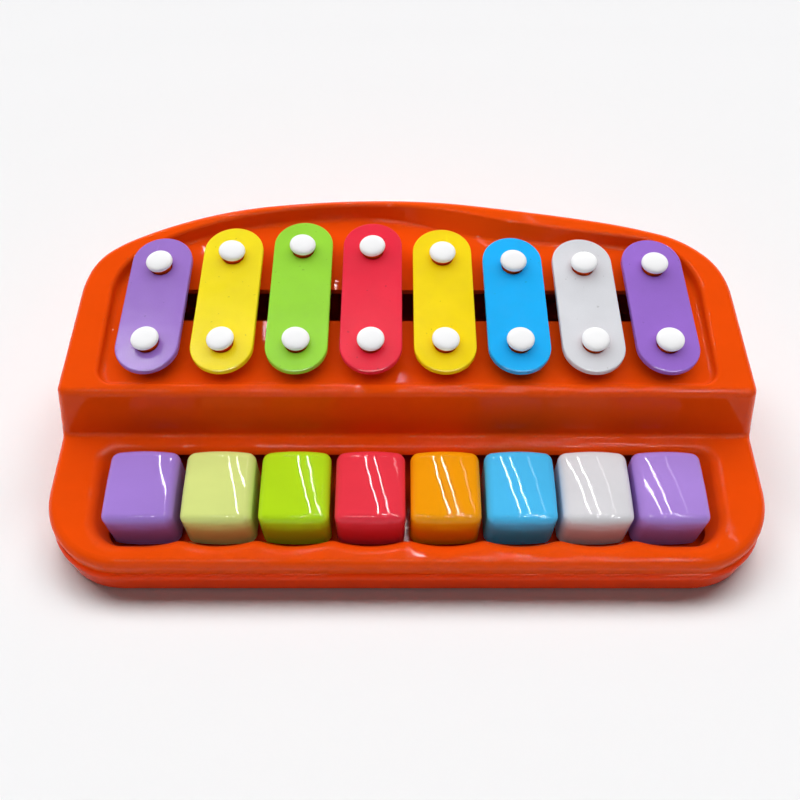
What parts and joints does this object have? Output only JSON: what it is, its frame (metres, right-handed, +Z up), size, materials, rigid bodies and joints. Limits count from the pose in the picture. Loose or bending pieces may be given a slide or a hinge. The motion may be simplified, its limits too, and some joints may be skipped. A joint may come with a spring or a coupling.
{
  "type": "toy piano",
  "caption": "Toy piano in a sloping moulded case whose block keys rock on a rod and knock coloured metal tone bars from below.",
  "frame": {"origin": "middle of the base on the floor, under the centre of the bounding box", "axes": "+X to the right along the keyboard seen from the player, +Y away from the player towards the bars, +Z up"},
  "size_m": [0.2684, 0.156, 0.0626],
  "materials": {
    "housing": "glossy moulded plastic",
    "tray": "glossy moulded plastic",
    "key_purple": "glossy",
    "key_lime": "glossy",
    "key_green": "glossy",
    "key_red": "glossy",
    "key_orange": "glossy",
    "key_blue": "glossy",
    "key_white": "glossy",
    "bar_purple": "gloss paint",
    "bar_yellow": "gloss paint",
    "bar_green": "gloss paint",
    "bar_red": "gloss paint",
    "bar_blue": "gloss paint",
    "bar_grey": "gloss paint",
    "cap": "glossy",
    "hammer": "moulded",
    "spring": "drawn wire",
    "rod": "drawn",
    "screw": "zinc plated"
  },
  "bodies": {
    "case": {"upper_housing": "housing", "base_tray": "tray", "tone_bar_1": "bar_purple", "tone_bar_2": "bar_yellow", "tone_bar_3": "bar_green", "tone_bar_4": "bar_red", "tone_bar_5": "bar_yellow", "tone_bar_6": "bar_blue", "tone_bar_7": "bar_grey", "tone_bar_8": "bar_purple", "bar_caps": "cap", "pivot_rod": "rod", "base_screws": "screw", "key_spring_1": "spring", "key_spring_2": "spring", "key_spring_3": "spring", "key_spring_4": "spring", "key_spring_5": "spring", "key_spring_6": "spring", "key_spring_7": "spring", "key_spring_8": "spring"},
    "key_lever_1": {"key_1": "key_purple", "hammer_head_1": "hammer"},
    "key_lever_2": {"key_2": "key_lime", "hammer_head_2": "hammer"},
    "key_lever_3": {"key_3": "key_green", "hammer_head_3": "hammer"},
    "key_lever_4": {"key_4": "key_red", "hammer_head_4": "hammer"},
    "key_lever_5": {"key_5": "key_orange", "hammer_head_5": "hammer"},
    "key_lever_6": {"key_6": "key_blue", "hammer_head_6": "hammer"},
    "key_lever_7": {"key_7": "key_white", "hammer_head_7": "hammer"},
    "key_lever_8": {"key_8": "key_purple", "hammer_head_8": "hammer"}
  },
  "joints": [
    {"name": "key_1_press", "type": "hinge", "parent": "case", "child": "key_lever_1", "pos_m": [-0.09625, -0.01355, 0.0155], "axis": [1, 0, 0], "range_deg": [0, 5.5], "stiffness_Nm_per_rad": 0.15, "springref_deg": -7.62, "deforming": ["key_spring_1"]},
    {"name": "key_2_press", "type": "hinge", "parent": "case", "child": "key_lever_2", "pos_m": [-0.06875, -0.01355, 0.0155], "axis": [1, 0, 0], "range_deg": [0, 5.5], "stiffness_Nm_per_rad": 0.15, "springref_deg": -7.62, "deforming": ["key_spring_2"]},
    {"name": "key_3_press", "type": "hinge", "parent": "case", "child": "key_lever_3", "pos_m": [-0.04125, -0.01355, 0.0155], "axis": [1, 0, 0], "range_deg": [0, 5.5], "stiffness_Nm_per_rad": 0.15, "springref_deg": -7.62, "deforming": ["key_spring_3"]},
    {"name": "key_4_press", "type": "hinge", "parent": "case", "child": "key_lever_4", "pos_m": [-0.01375, -0.01355, 0.0155], "axis": [1, 0, 0], "range_deg": [0, 5.5], "stiffness_Nm_per_rad": 0.15, "springref_deg": -7.62, "deforming": ["key_spring_4"]},
    {"name": "key_5_press", "type": "hinge", "parent": "case", "child": "key_lever_5", "pos_m": [0.01375, -0.01355, 0.0155], "axis": [1, 0, 0], "range_deg": [0, 5.5], "stiffness_Nm_per_rad": 0.15, "springref_deg": -7.62, "deforming": ["key_spring_5"]},
    {"name": "key_6_press", "type": "hinge", "parent": "case", "child": "key_lever_6", "pos_m": [0.04125, -0.01355, 0.0155], "axis": [1, 0, 0], "range_deg": [0, 5.5], "stiffness_Nm_per_rad": 0.15, "springref_deg": -7.62, "deforming": ["key_spring_6"]},
    {"name": "key_7_press", "type": "hinge", "parent": "case", "child": "key_lever_7", "pos_m": [0.06875, -0.01355, 0.0155], "axis": [1, 0, 0], "range_deg": [0, 5.5], "stiffness_Nm_per_rad": 0.15, "springref_deg": -7.62, "deforming": ["key_spring_7"]},
    {"name": "key_8_press", "type": "hinge", "parent": "case", "child": "key_lever_8", "pos_m": [0.09625, -0.01355, 0.0155], "axis": [1, 0, 0], "range_deg": [0, 5.5], "stiffness_Nm_per_rad": 0.15, "springref_deg": -7.62, "deforming": ["key_spring_8"]}
  ]
}
